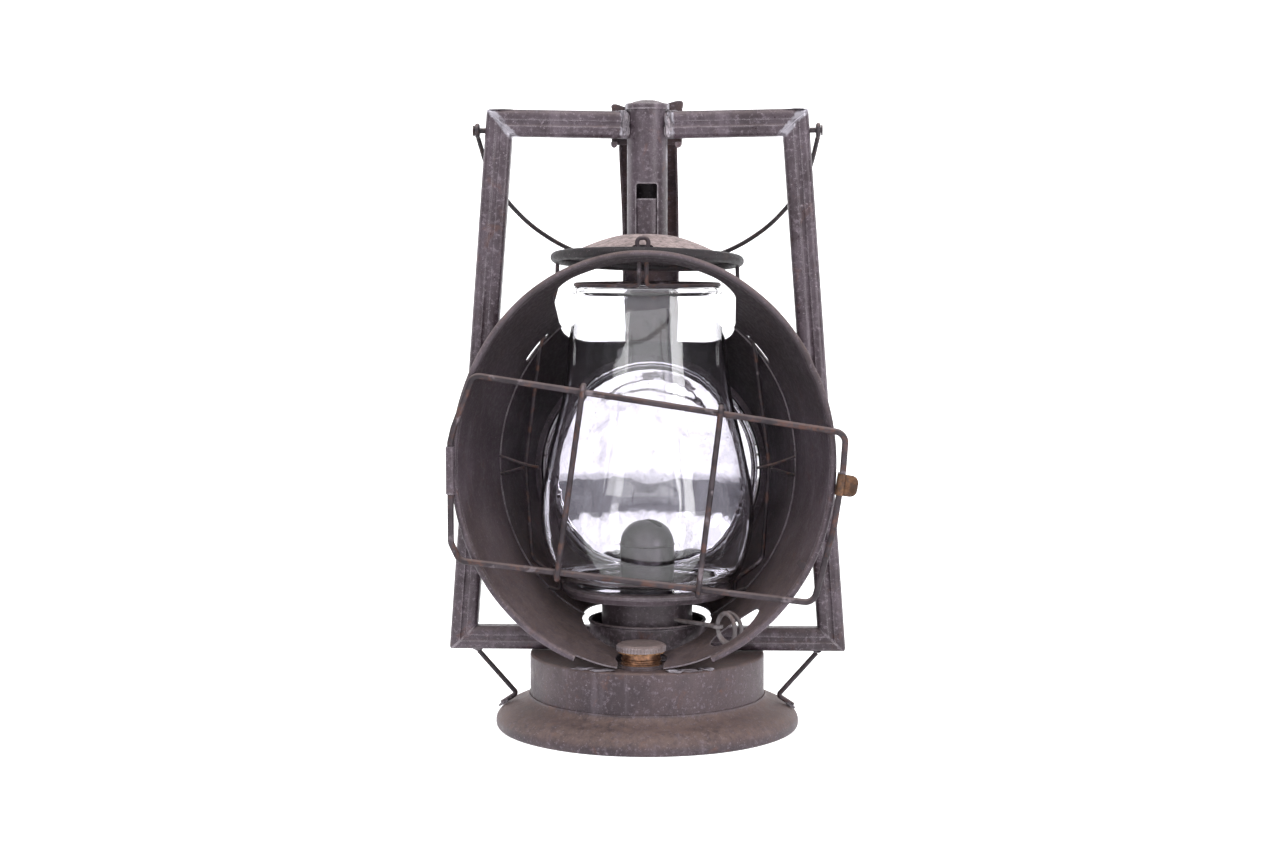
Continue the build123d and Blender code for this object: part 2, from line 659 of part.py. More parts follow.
front_sections = [(HOOD_FRONT, RIM_A, RIM_B, HOOD_TILT_Z), (HOOD_LAP, LAP_A, LAP_B, LAP_Z)]
rear_sections = [(HOOD_LAP - 3, LAP_A - 0.15, LAP_B - 0.4, LAP_Z + 0.3), (HOOD_REAR, REAR_R, REAR_R, REAR_Z)]
hood_cuts = hood_openings()
bead_open = degrees(asin(37 / RIM_A))
rim_plane = Plane.XZ.offset(-HOOD_FRONT)
with BuildLine(rim_plane) as rim_line:
    EllipticalCenterArc(
        (0, HOOD_TILT_Z),
        RIM_A + 1.2,
        RIM_B + 1.2,
        start_angle=bead_open - 90,
        arc_size=360 - 2 * bead_open,
    )
rim_start = Plane(origin=rim_line.line @ 0, z_dir=rim_line.line % 0)

with BuildPart() as front_hood:
    add(hood_cone(front_sections, 0))
    add(hood_cone(front_sections, SHEET), mode=Mode.SUBTRACT)
    add(hood_cuts, mode=Mode.SUBTRACT)
    with BuildSketch(rim_start):
        Circle(RIM_BEAD)
    sweep(path=rim_line.line)
    with BuildSketch(rim_start):
        Circle(1.45)
    sweep(path=rim_line.line, mode=Mode.SUBTRACT)
finish_part(front_hood, "front_hood")

with BuildPart() as rear_hood:
    add(hood_cone(rear_sections, 0))
    add(hood_cone(rear_sections, SHEET), mode=Mode.SUBTRACT)
    add(hood_cuts, mode=Mode.SUBTRACT)
finish_part(rear_hood, "rear_hood")

with BuildPart() as hood_rim_wire:
    with BuildSketch(rim_start):
        Circle(1.35)
    sweep(path=rim_line.line)
finish_part(hood_rim_wire, "hood_rim_wire")


def guide_clip(side):
    """A hairpin of thin wire that keeps a cage wire beside the hood's wall."""
    route = [
        (side * 84.4, -3.4, 154.8),
        (side * 72.0, -2.7, 150.4),
        (side * 62.8, -2.4, 148.0),
        (side * 62.8, 2.4, 148.0),
        (side * 72.0, 2.7, 147.2),
        (side * 84.4, 3.4, 143.4),
    ]
    return wire_rod(route, CLIP_WIRE, [12.0, 2.2, 2.2, 12.0])


with BuildPart() as cage_guides:
    add(guide_clip(-1))
    add(guide_clip(1))
finish_part(cage_guides, "cage_guides")

# ---- reflector ---------------------------------------------------------------------------------
reflector_axis = Axis((0, 0, REAR_Z), (0, 1, 0))
dish_plane = Plane(origin=(0, 0, REAR_Z), x_dir=(0, 1, 0), z_dir=(1, 0, 0))
dish_y = REFLECTOR_Y + REFLECTOR_DEPTH
rim_back = REFLECTOR_Y + 3.6
with BuildPart() as reflector_glass:
    with BuildSketch(dish_plane):
        with BuildLine():
            Line((dish_y + REFLECTOR_THICK, 0), (dish_y, 0))
            Spline((dish_y, 0), (dish_y - 2.6, 30.0), (REFLECTOR_Y + 1.4, 60.6), tangents=((0, 1), (-0.33, 0.94)))
            Polyline(
                (REFLECTOR_Y + 1.4, 60.6),
                (REFLECTOR_Y + 0.4, 61.6),
                (REFLECTOR_Y + 0.9, 62.8),
                (REFLECTOR_Y, REFLECTOR_R - 1.4),
                (REFLECTOR_Y + 0.7, REFLECTOR_R),
                (rim_back, REFLECTOR_R),
            )
            Spline(
                (rim_back, REFLECTOR_R),
                (dish_y - 2.6 + REFLECTOR_THICK, 31.0),
                (dish_y + REFLECTOR_THICK, 0),
                tangents=((0.33, -0.94), (0, -1)),
            )
        make_face()
    revolve(axis=reflector_axis)
finish_part(reflector_glass, "reflector_glass")

with BuildPart() as reflector_pan:
    with BuildSketch(dish_plane):
        with BuildLine():
            Polyline((62.2, 65.9), (62.2, 70.6), (62.8, PAN_R), (86.5, PAN_R - 2.2), (PAN_REAR - 0.6, 66.0))
            Spline((PAN_REAR - 0.6, 66.0), (PAN_REAR, 60.0), (PAN_REAR - 1.2, 30.0), (PAN_REAR - 1.6, 0))
            Line((PAN_REAR - 1.6, 0), (PAN_REAR - 2.4, 0))
            Spline((PAN_REAR - 2.4, 0), (PAN_REAR - 2.0, 30.0), (PAN_REAR - 0.9, 59.6), (PAN_REAR - 1.4, 65.4))
            Polyline((PAN_REAR - 1.4, 65.4), (86.0, PAN_R - 3.0), (63.2, PAN_R - SHEET), (63.2, 65.9), (62.2, 65.9))
        make_face()
    revolve(axis=reflector_axis)
finish_part(reflector_pan, "reflector_pan")

# ---- rear handle -------------------------------------------------------------------------------
with BuildPart() as handle_plate:
    with BuildSketch(Plane.XZ.offset(-HANDLE_PLATE_Y - 1.0)):
        with BuildLine():
            Polyline((-20.8, 352.0), (-20.8, 331.4), (19.3, 331.4), (19.6, 352.0))
            Spline(
                (19.6, 352.0),
                (18.8, 356.4),
                (16.2, 356.3),
                (9.0, 354.4),
                (-2.0, 353.6),
                (-15.0, 353.5),
                (-18.6, 354.6),
                (-20.6, 354.2),
                (-20.8, 352.0),
            )
        make_face()
    extrude(amount=1.0)
    with BuildSketch(Plane.XY.offset(331.4)):
        for tab_x in (-18.8, 17.5):
            with Locations((tab_x, HANDLE_PLATE_Y / 2 + 0.6)):
                Rectangle(3.6, HANDLE_PLATE_Y)
    extrude(amount=1.2)
    with BuildSketch(Plane.XZ.offset(-1.6)):
        with Locations((-18.8, 331.0), (17.5, 331.0)):
            Circle(1.7)
    extrude(amount=1.8)
finish_part(handle_plate, "handle_plate")

strap_line = [(14.8, 349.0), (15.4, 334.0), (29.0, 317.0), (46.0, 301.0), (57.5, 283.0), (61.5, 262.0)]
strap_line += [(67.5, 238.0), (80.0, 213.4)]


def offset_line(points, distance):
    """The same line of points moved sideways, towards the lantern when distance is positive."""
    moved = []
    for i, (y, z) in enumerate(points):
        before = points[max(i - 1, 0)]
        after = points[min(i + 1, len(points) - 1)]
        dy = after[0] - before[0]
        dz = after[1] - before[1]
        length = hypot(dy, dz)
        moved.append((y + distance * dz / length, z - distance * dy / length))
    return moved


def strap_band(depth, low_x, high_x):
    """A band that follows the strap, as deep as stated towards the lantern."""
    inner = offset_line(strap_line, depth)
    with BuildPart() as band:
        with BuildSketch(Plane.YZ.offset(low_x)):
            with BuildLine():
                Spline(*strap_line)
                Line(strap_line[-1], inner[-1])
                Spline(*reversed(inner))
                Line(inner[0], strap_line[0])
            make_face()
        extrude(amount=high_x - low_x)
    return band.part


with BuildPart() as rear_strap:
    add(strap_band(STRAP_THICK, 0.4 - STRAP_HALF, STRAP_HALF - 0.4))
    add(strap_band(STRAP_FLANGE, -STRAP_HALF, STRAP_THICK - STRAP_HALF))
    add(strap_band(STRAP_FLANGE, STRAP_HALF - STRAP_THICK, STRAP_HALF))
    with BuildSketch(Plane.XY.offset(331)):
        with Locations((0, HANDLE_PLATE_Y / 2)):
            Rectangle(40, HANDLE_PLATE_Y + 2.2)
    extrude(amount=25, mode=Mode.SUBTRACT)
finish_part(rear_strap, "rear_strap")

# ---- bail --------------------------------------------------------------------------------------
hang = radians(BAIL_HANG)


def bail_point(turn):
    """A point of the bail at an angle round its half oval, from the left eye to the right."""
    x = -BAIL_X * cos(turn)
    reach = BAIL_DEPTH * sin(turn)
    return (x, reach * cos(hang), BAIL_Z - reach * sin(hang))


bail_steps = 13
bail_turns = [0.05 + (pi - 0.1) * i / bail_steps for i in range(bail_steps + 1)]
bail_route = [bail_point(turn) for turn in bail_turns]
with BuildPart() as bail:
    add(wire_rod(bail_route, BAIL_WIRE))
    for side in (-1, 1):
        with BuildSketch(Plane(origin=(side * BAIL_X, 0, BAIL_Z), x_dir=(1, 0, 0), z_dir=(0, 1, 0))):
            with Locations((0, BAIL_EYE)):
                Circle(BAIL_WIRE)
        revolve(axis=Axis((0, 0, BAIL_Z), (1, 0, 0)))
finish_part(bail, "bail")

tube_face_x = side_face_x(BAIL_Z)
with BuildPart() as bail_pins:
    for side in (-1, 1):
        start = Plane(origin=(side * (tube_face_x + 0.15), 0, BAIL_Z), z_dir=(side, 0, 0))
        with BuildSketch(start):
            Circle(BAIL_EYE - BAIL_WIRE - RUN)
        extrude(amount=BAIL_X + BAIL_WIRE + 0.2 - tube_face_x)
        with BuildSketch(start.offset(BAIL_X + BAIL_WIRE + 0.2 - tube_face_x)):
            Circle(3.0)
        extrude(amount=0.8)
finish_part(bail_pins, "bail_pins")

# ---- guard -------------------------------------------------------------------------------------
guard_corners = [
    (HINGE_X, 113.6, 6.0),
    (-99.6, 103.6, 6.0),
    (92.6, 81.6, 6.0),
    (103.1, 122.0, 30.0),
    (108.0, 154.0, 30.0),
    (109.4, 174.0, 6.0),
    (-91.6, 204.8, 5.0),
    (-102.4, 176.0, 8.0),
    (HINGE_X, 168.0, 5.0),
]
with BuildPart() as guard_frame:
    with BuildLine() as guard_line:
        FilletPolyline(
            *[(x, GUARD_Y, z) for x, z, _ in guard_corners],
            radius=[bend for _, _, bend in guard_corners],
            close=True,
        )
    with BuildSketch(Plane(origin=guard_line.line @ 0, z_dir=guard_line.line % 0)):
        Circle(GUARD_WIRE)
    sweep(path=guard_line.line)
finish_part(guard_frame, "guard_frame")


def guard_upright(top_x, top_z, low_x, low_z):
    """An upright in front of the guard's bars, with both ends wrapped back over them."""
    front = GUARD_Y - GUARD_WIRE - UPRIGHT_WIRE - 0.05
    back = GUARD_Y + GUARD_WIRE + UPRIGHT_WIRE + 0.05
    over = GUARD_WIRE + UPRIGHT_WIRE + 0.1
    route = [
        (top_x - 0.8, back, top_z - 2.6),
        (top_x, back, top_z + over),
        (top_x, front, top_z + over),
        (low_x, front, low_z - over),
        (low_x, back, low_z - over),
        (low_x + 0.4, back, low_z + 2.2),
    ]
    return wire_rod(route, UPRIGHT_WIRE, [3.0, 3.2, 3.2, 3.0])


def bar_z(x, left, right):
    """Height of a straight bar at x, between its two ends."""
    return left[1] + (right[1] - left[1]) * (x - left[0]) / (right[0] - left[0])


with BuildPart() as guard_uprights:
    for top_x, low_x in ((-31.9, -46.6), (42.4, 29.9)):
        top_z = bar_z(top_x, guard_corners[6], guard_corners[5])
        low_z = bar_z(low_x, guard_corners[1], guard_corners[2])
        add(guard_upright(top_x, top_z, low_x, low_z))
finish_part(guard_uprights, "guard_uprights")

with BuildPart() as guard_sleeve:
    with BuildSketch(Plane(origin=(HINGE_X, GUARD_Y, SLEEVE_LOW))):
        Circle(GUARD_WIRE + RUN + 0.75)
        Circle(GUARD_WIRE + RUN, mode=Mode.SUBTRACT)
    extrude(amount=SLEEVE_HIGH - SLEEVE_LOW)
finish_part(guard_sleeve, "guard_sleeve")

right_low = guard_corners[3]
right_high = guard_corners[4]
catch_x = bar_z(CATCH_Z, (right_low[1], right_low[0]), (right_high[1], right_high[0]))
catch_axis = Vector(right_high[0] - right_low[0], 0, right_high[1] - right_low[1]).normalized()
catch_plane = Plane(origin=(catch_x, GUARD_Y, CATCH_Z), x_dir=catch_axis.cross(Vector(0, -1, 0)), z_dir=catch_axis)
with BuildPart() as guard_catch:
    with BuildSketch(catch_plane.offset(-CATCH_HEIGHT / 2)):
        Circle(GUARD_WIRE + RUN + 0.8)
        with BuildLine():
            Polyline((2.0, -0.9), (9.2, -0.9), (9.2, 0.2), (2.0, 0.2), (2.0, -0.9))
        make_face()
        with BuildLine():
            Polyline((-1.8, 2.0), (-0.8, 1.6), (-0.8, 7.6), (-1.5, 8.4), (-2.0, 8.1), (-1.7, 7.4), (-1.8, 2.0))
        make_face()
        Circle(GUARD_WIRE + RUN, mode=Mode.SUBTRACT)
    extrude(amount=CATCH_HEIGHT)
    fillet(guard_catch.edges().filter_by(Axis.Y).sort_by(Axis.X)[-2:], radius=4.0)
finish_part(guard_catch, "guard_catch")
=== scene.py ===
from math import cos, pi, radians, sin, tau

import bmesh
import bpy
from mathutils import Matrix, Vector, noise


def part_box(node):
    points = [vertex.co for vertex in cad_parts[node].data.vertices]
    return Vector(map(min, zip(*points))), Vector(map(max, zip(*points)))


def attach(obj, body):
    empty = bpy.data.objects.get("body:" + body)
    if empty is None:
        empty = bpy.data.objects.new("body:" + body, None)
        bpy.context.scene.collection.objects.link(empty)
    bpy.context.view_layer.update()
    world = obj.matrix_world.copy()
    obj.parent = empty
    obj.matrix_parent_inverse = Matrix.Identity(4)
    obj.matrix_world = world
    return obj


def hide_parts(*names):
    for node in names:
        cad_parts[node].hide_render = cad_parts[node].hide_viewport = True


# The looks of a tubular kerosene lantern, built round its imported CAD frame.
# Metres, in the frame's own axes: +X right, -Y front, +Z up.

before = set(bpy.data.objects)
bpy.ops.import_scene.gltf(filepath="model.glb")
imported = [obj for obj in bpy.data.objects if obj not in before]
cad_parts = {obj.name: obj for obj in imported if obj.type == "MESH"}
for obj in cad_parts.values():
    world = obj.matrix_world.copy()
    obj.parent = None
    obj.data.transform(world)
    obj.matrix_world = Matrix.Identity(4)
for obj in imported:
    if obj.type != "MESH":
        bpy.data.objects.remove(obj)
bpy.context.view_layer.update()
MM = 0.001

# ---- the frame's places ------------------------------------------------------------------------
SHEET = 0.8 * MM

RIM_HALF_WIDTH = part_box("hood_rim_wire")[1].x - 2.55 * MM
FOUNT_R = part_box("fount_body")[1].x / MM
BASE_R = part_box("base_ring")[1].x / MM
TUBE_CORNER_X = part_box("top_tube_right")[1].x - 8.4 * MM

# hood: oval sections as (y, half width, half height, centre height)
HOOD_FRONT = (-64.0 * MM, RIM_HALF_WIDTH, 113.0 * MM, 156.0 * MM)
HOOD_LAP = (7.5 * MM, 85.4 * MM, 97.0 * MM, 149.0 * MM)
HOOD_JOIN = (4.5 * MM, 85.2 * MM, 96.6 * MM, 149.3 * MM)
HOOD_BACK = (62.0 * MM, 70.0 * MM, 70.0 * MM, 140.0 * MM)


def srgb(red, green, blue):
    """A colour as a screen shows it, from 0 to 255, as the linear colour that a shader takes."""
    linear = []
    for c in (red, green, blue):
        linear.append((c / 255 / 12.92) if c < 11 else ((c / 255 + 0.055) / 1.055) ** 2.4)
    return (*linear, 1.0)


# ---- materials ---------------------------------------------------------------------------------
class Graph:
    """The nodes of one material, added and joined in short steps."""

    def __init__(self, name):
        self.material = bpy.data.materials.new(name)
        self.material.use_nodes = True
        self.tree = self.material.node_tree
        self.tree.nodes.clear()
        self.output = self.node("ShaderNodeOutputMaterial")
        self.shader = self.node("ShaderNodeBsdfPrincipled")
        self.tree.links.new(self.shader.outputs["BSDF"], self.output.inputs["Surface"])
        place = self.node("ShaderNodeTexCoord")
        self.place = place.outputs["Object"]
        self.facing = self.node("ShaderNodeSeparateXYZ", Vector=place.outputs["Normal"])

    def node(self, kind, settings=(), **inputs):
        made = self.tree.nodes.new(kind)
        for name, value in dict(settings).items():
            setattr(made, name, value)
        for name, value in inputs.items():
            self.feed(made.inputs[name.replace("_", " ")], value)
        return made

    def feed(self, socket, value):
        if isinstance(value, bpy.types.NodeSocket):
            self.tree.links.new(value, socket)
        else:
            socket.default_value = value

    def set(self, **inputs):
        """Sets or feeds the shader's own sockets."""
        for name, value in inputs.items():
            self.feed(self.shader.inputs[name.replace("_", " ")], value)

    def noise(self, scale, detail=4.0, roughness=0.55, stretch=(1, 1, 1), distortion=0.0):
        place = self.node("ShaderNodeMapping", Vector=self.place, Scale=stretch).outputs[0]
        made = self.node(
            "ShaderNodeTexNoise",
            Vector=place,
            Scale=scale,
            Detail=detail,
            Roughness=roughness,
            Distortion=distortion,
        )
        return made.outputs["Fac"]

    def ramp(self, value, low, high, start=0.0, end=1.0):
        """A smooth step of value from low to high, scaled to start and end."""
        made = self.node("ShaderNodeMapRange", {"interpolation_type": "SMOOTHSTEP"}, Value=value)
        for socket, number in zip(made.inputs[1:5], (low, high, start, end)):
            socket.default_value = number
        return made.outputs["Result"]

    def sum(self, operation, a, b, clamp=False):
        made = self.node("ShaderNodeMath", {"operation": operation, "use_clamp": clamp})
        self.feed(made.inputs[0], a)
        self.feed(made.inputs[1], b)
        return made.outputs[0]

    def mix(self, share, a, b):
        """A colour that goes from a to b as share goes from 0 to 1."""
        made = self.node("ShaderNodeMix", {"data_type": "RGBA"})
        self.feed(made.inputs[0], share)
        self.feed(made.inputs[6], a)
        self.feed(made.inputs[7], b)
        return made.outputs[2]

    def blend(self, share, a, b):
        """A number that goes from a to b as share goes from 0 to 1."""
        made = self.node("ShaderNodeMix", {"data_type": "FLOAT"})
        self.feed(made.inputs[0], share)
        self.feed(made.inputs[2], a)
        self.feed(made.inputs[3], b)
        return made.outputs[0]

    def bump(self, height, distance, strength=1.0, normal=None):
        made = self.node("ShaderNodeBump", Height=height, Distance=distance, Strength=strength)
        if normal is not None:
            self.feed(made.inputs["Normal"], normal)
        return made.outputs["Normal"]

    def edge(self, radius):
        """One along sharp edges, within about radius of them: where hands have rubbed the tin bare, and
        where a painted highlight lights the edges.
        """
        bevel = self.node("ShaderNodeBevel", {"samples": 4}, Radius=radius)
        flat = self.node("ShaderNodeNewGeometry")
        turned = self.node("ShaderNodeVectorMath", {"operation": "DOT_PRODUCT"})
        self.feed(turned.inputs[0], bevel.outputs["Normal"])
        self.feed(turned.inputs[1], flat.outputs["Normal"])
        return self.ramp(turned.outputs["Value"], 0.99, 0.86)

    def near(self, point, direction, reach):
        """Ragged patches close to a plane through point that faces direction, gone at reach from it."""
        across = self.node("ShaderNodeVectorMath", {"operation": "SUBTRACT"})
        self.feed(across.inputs[0], self.place)
        self.feed(across.inputs[1], point)
        along = self.node("ShaderNodeVectorMath", {"operation": "DOT_PRODUCT"})
        self.feed(along.inputs[0], across.outputs[0])
        self.feed(along.inputs[1], Vector(direction).normalized())
        close = self.ramp(self.sum("ABSOLUTE", along.outputs["Value"], 0.0), reach, 0.0)
        away = self.node("ShaderNodeVectorMath", {"operation": "LENGTH"})
        self.feed(away.inputs[0], across.outputs[0])
        close = self.sum("MULTIPLY", close, self.ramp(away.outputs["Value"], 30 * MM, 20 * MM))
        patches = self.noise(170, 6, 0.7, distortion=0.6)
        return self.ramp(self.sum("MULTIPLY", close, patches), 0.30, 0.48)


TIN_DARK = srgb(52, 41, 47)
TIN_MID = srgb(76, 65, 73)
TIN_PALE = srgb(112, 101, 110)
RUST = srgb(98, 62, 48)
DUST = srgb(152, 134, 131)
SOLDER = srgb(150, 146, 154)
GLASS_TINT = (0.972, 0.968, 0.992, 1.0)
PITS = srgb(34, 27, 30)
CRUMBS = srgb(150, 140, 146)
# bare tin on rubbed edges, also used as a painted highlight along edges
BARE_TIN_AND_HIGHLIGHT = srgb(158, 150, 156)
# painted shade colour for faces turned down
DOWNWARD_SHADE_COLOUR = srgb(30, 23, 25)
GRIME = srgb(58, 44, 38)
BROWN_DUST = srgb(124, 103, 95)
HOOD_DUST = srgb(128, 110, 104)
PALE_DUST = srgb(182, 164, 162)


def worn_tin(
    name, dark=TIN_DARK, mid=TIN_MID, dust=0.45, rust=0.5, gloss=0.5, edge_wear_and_highlight=0.5,
    pale=TIN_PALE, dust_tone=DUST,
    seams=(), dents=0.0006, shade_below=False, dusty_within=None,
):
    """Old japanned tinplate: mottled lacquer, rust, dust on what faces up, bare solder at seams. Its pale
    edges and pale upright streaks are partly painted highlight, and painted shade darkens faces turned down
    when asked.
    """
    g = Graph(name)
    patches = g.noise(26, 6, 0.62, distortion=0.4)
    grain = g.noise(380, 6, 0.72)
    speck = g.noise(1900, 3, 0.6)
    colour = g.mix(g.ramp(patches, 0.38, 0.62), dark, mid)
    colour = g.mix(g.ramp(grain, 0.50, 0.68, 0.0, 0.75), colour, pale)
    colour = g.mix(g.ramp(speck, 0.54, 0.66, 0.0, 0.6), colour, PITS)
    crumbs = g.noise(760, 4, 0.7)
    colour = g.mix(g.ramp(crumbs, 0.62, 0.72, 0.0, 0.7), colour, CRUMBS)
    rusted = g.sum("MULTIPLY", g.ramp(g.noise(75, 9, 0.72, distortion=0.8), 0.56, 0.70), rust)
    colour = g.mix(rusted, colour, RUST)
    # pale upright streaks: runs in the lacquer, and partly a painted highlight along the tubes
    runs = g.noise(130, 5, 0.6, stretch=(1, 1, 0.12))
    colour = g.mix(g.ramp(runs, 0.54, 0.70, 0.0, 0.3), colour, pale)
    # pale along edges: bare tin where rubbed, and partly a painted highlight along the edges
    rubbed = g.sum("MULTIPLY", g.edge(1.6 * MM), g.ramp(g.noise(140, 5, 0.6), 0.30, 0.60))
    colour = g.mix(g.sum("MULTIPLY", rubbed, edge_wear_and_highlight), colour, BARE_TIN_AND_HIGHLIGHT)
    upward = g.ramp(g.facing.outputs["Z"], -0.1, 0.85)
    settled = g.sum("MULTIPLY", upward, g.ramp(g.noise(260, 9, 0.78), 0.24, 0.66))
    settled = g.sum("MULTIPLY", settled, dust)
    if dusty_within:
        flat = g.node("ShaderNodeVectorMath", {"operation": "MULTIPLY"})
        g.feed(flat.inputs[0], g.place)
        g.feed(flat.inputs[1], (1.0, 1.0, 0.0))
        reach = g.node("ShaderNodeVectorMath", {"operation": "LENGTH"})
        g.feed(reach.inputs[0], flat.outputs[0])
        inside = g.ramp(reach.outputs["Value"], dusty_within + 5 * MM, dusty_within)
        settled = g.sum("MULTIPLY", settled, inside)
    colour = g.mix(settled, colour, dust_tone)
    if shade_below:
        # painted shade: darkens faces turned down, from 0.10 to 0.235 m up
        height = g.node("ShaderNodeSeparateXYZ", Vector=g.place).outputs["Z"]
        below_shade_mask = g.sum("MULTIPLY", g.ramp(g.facing.outputs["Z"], 0.35, -0.6), g.ramp(height, 0.10, 0.235))
        colour = g.mix(g.sum("MULTIPLY", below_shade_mask, 0.8), colour, DOWNWARD_SHADE_COLOUR)
    rough = g.blend(g.ramp(grain, 0.35, 0.7), 0.24 + 0.3 * (1 - gloss), 0.56 + 0.25 * (1 - gloss))
    rough = g.blend(settled, rough, 0.92)
    metal = 0.25
    for seam in seams:
        bare = g.near(*seam)
        colour = g.mix(bare, colour, SOLDER)
        rough = g.blend(bare, rough, 0.36)
        metal = g.blend(bare, metal, 0.85)
    low = g.bump(g.noise(34, 3, 0.5), dents, 0.6)
    fine = g.bump(g.sum("ADD", grain, g.sum("MULTIPLY", speck, 0.5)), 0.00016, 0.7, low)
    g.set(Base_Color=colour, Roughness=rough, Metallic=metal, Normal=fine, Specular_IOR_Level=0.5)
    return g.material


def worn_wire(name, dark, mid, bright, rust=0.6):
    """Drawn iron wire, browned by age, with brighter rubbed stretches."""
    g = Graph(name)
    patches = g.noise(55, 6, 0.65)
    grain = g.noise(700, 5, 0.7)
    colour = g.mix(g.ramp(patches, 0.38, 0.62), dark, mid)
    colour = g.mix(g.sum("MULTIPLY", g.ramp(g.noise(120, 7, 0.7), 0.50, 0.64), rust), colour, RUST)
    rubbed = g.ramp(g.noise(90, 4, 0.6), 0.58, 0.70)
    colour = g.mix(rubbed, colour, bright)
    dusty = g.ramp(g.facing.outputs["Z"], 0.2, 0.95, 0.0, 0.4)
    colour = g.mix(dusty, colour, DUST)
    rough = g.blend(rubbed, 0.62, 0.34)
    bumps = g.bump(grain, 0.00012, 0.8)
    g.set(Base_Color=colour, Roughness=rough, Metallic=g.blend(rubbed, 0.35, 0.8), Normal=bumps)
    return g.material


def worn_brass(name, bright, dull, dirt_share=0.5):
    """Brass or copper in dull and bright patches, darkened by random patches of grime."""
    g = Graph(name)
    patches = g.noise(210, 6, 0.65)
    colour = g.mix(g.ramp(patches, 0.35, 0.65), dull, bright)
    dirt = g.sum("MULTIPLY", g.ramp(g.noise(430, 5, 0.7), 0.45, 0.62), dirt_share)
    colour = g.mix(dirt, colour, GRIME)
    rough = g.blend(dirt, 0.36, 0.75)
    metal = g.blend(dirt, 0.9, 0.3)
    g.set(Base_Color=colour, Roughness=rough, Metallic=metal, Normal=g.bump(patches, 0.0001, 0.6))
    return g.material


def old_glass():
    """Clear blown glass with a little dust, and streaks where it was wiped."""
    g = Graph("old_glass")
    waves = g.bump(g.noise(42, 3, 0.5, stretch=(1, 1, 0.35)), 0.0007, 0.35)
    g.set(Base_Color=GLASS_TINT, Roughness=0.0, IOR=1.47, Transmission_Weight=1.0, Normal=waves)
    film = g.node("ShaderNodeBsdfDiffuse", Color=srgb(205, 202, 206), Roughness=1.0)
    smears = g.ramp(g.noise(65, 7, 0.68, stretch=(1, 1, 0.5), distortion=0.6), 0.45, 0.80, 0.0, 0.012)
    specks = g.ramp(g.noise(900, 3, 0.6), 0.68, 0.76, 0.0, 0.06)
    share = g.sum("ADD", smears, specks, clamp=True)
    both = g.node("ShaderNodeMixShader")
    g.feed(both.inputs[0], share)
    g.feed(both.inputs[1], g.shader.outputs["BSDF"])
    g.feed(both.inputs[2], film.outputs["BSDF"])
    g.feed(g.output.inputs["Surface"], both.outputs[0])
    return g.material


def silvering():
    """A silvered glass reflector: bright, a little wavy, with cloudy patches in the silver."""
    g = Graph("silvering")
    cloud = g.ramp(g.noise(48, 8, 0.68, distortion=0.8), 0.42, 0.72)
    spots = g.ramp(g.noise(310, 5, 0.7), 0.60, 0.70)
    colour = g.mix(cloud, srgb(236, 234, 238), srgb(196, 192, 198))
    colour = g.mix(g.sum("MULTIPLY", spots, 0.45), colour, srgb(120, 112, 112))
    rough = g.blend(cloud, 0.03, 0.11)
    waves = g.bump(g.noise(44, 3, 0.5), 0.0007, 0.22)
    g.set(Base_Color=colour, Roughness=rough, Metallic=1.0, Normal=waves)
    return g.material


def worn_solder(name):
    """Dull grey solder in brighter and duller patches, with brown stain."""
    g = Graph(name)
    patches = g.noise(300, 6, 0.7)
    colour = g.mix(g.ramp(patches, 0.38, 0.66), srgb(112, 104, 108), SOLDER)
    stain = g.ramp(g.noise(150, 7, 0.7), 0.46, 0.64, 0.0, 0.8)
    colour = g.mix(stain, colour, TIN_DARK)
    rough = g.blend(stain, 0.30, 0.65)
    metal = g.blend(stain, 0.85, 0.2)
    g.set(Base_Color=colour, Roughness=rough, Metallic=metal, Normal=g.bump(patches, 0.0003, 0.8))
    return g.material


def soft_stuff(name, light, dark, scale):
    """Cork or cotton: a matt grain of two tones."""
    g = Graph(name)
    grain = g.noise(scale, 6, 0.7)
    colour = g.mix(g.ramp(grain, 0.4, 0.62), dark, light)
    g.set(Base_Color=colour, Roughness=0.95, Normal=g.bump(grain, 0.0003, 0.9))
    return g.material


tube_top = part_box("top_tube_right")[1].z
corner = Vector((TUBE_CORNER_X, 0.0, tube_top - 8.4 * MM))
tube_seams = []
for side in (-1, 1):
    tube_seams.append(((side * corner.x, 0.0, corner.z), (side * 0.75, 0.0, -0.66), 6.5 * MM))
    tube_seams.append(((side * 13.0 * MM, 0.0, corner.z), (1.0, 0.0, 0.0), 6.0 * MM))

frame_tin = worn_tin("frame_tin", dust=0.22, rust=0.35, gloss=0.9, edge_wear_and_highlight=0.85, seams=tube_seams)
# the hood's tin gets painted shade on its faces turned down
hood_tin = worn_tin(
    "hood_tin", dust=0.55, rust=0.45, gloss=0.3, dents=0.0009, shade_below=True, dust_tone=HOOD_DUST,
)
base_tin = worn_tin(
    "base_tin", mid=srgb(74, 60, 64), dust=0.6, rust=0.6, gloss=0.5, edge_wear_and_highlight=0.2, dust_tone=BROWN_DUST,
)
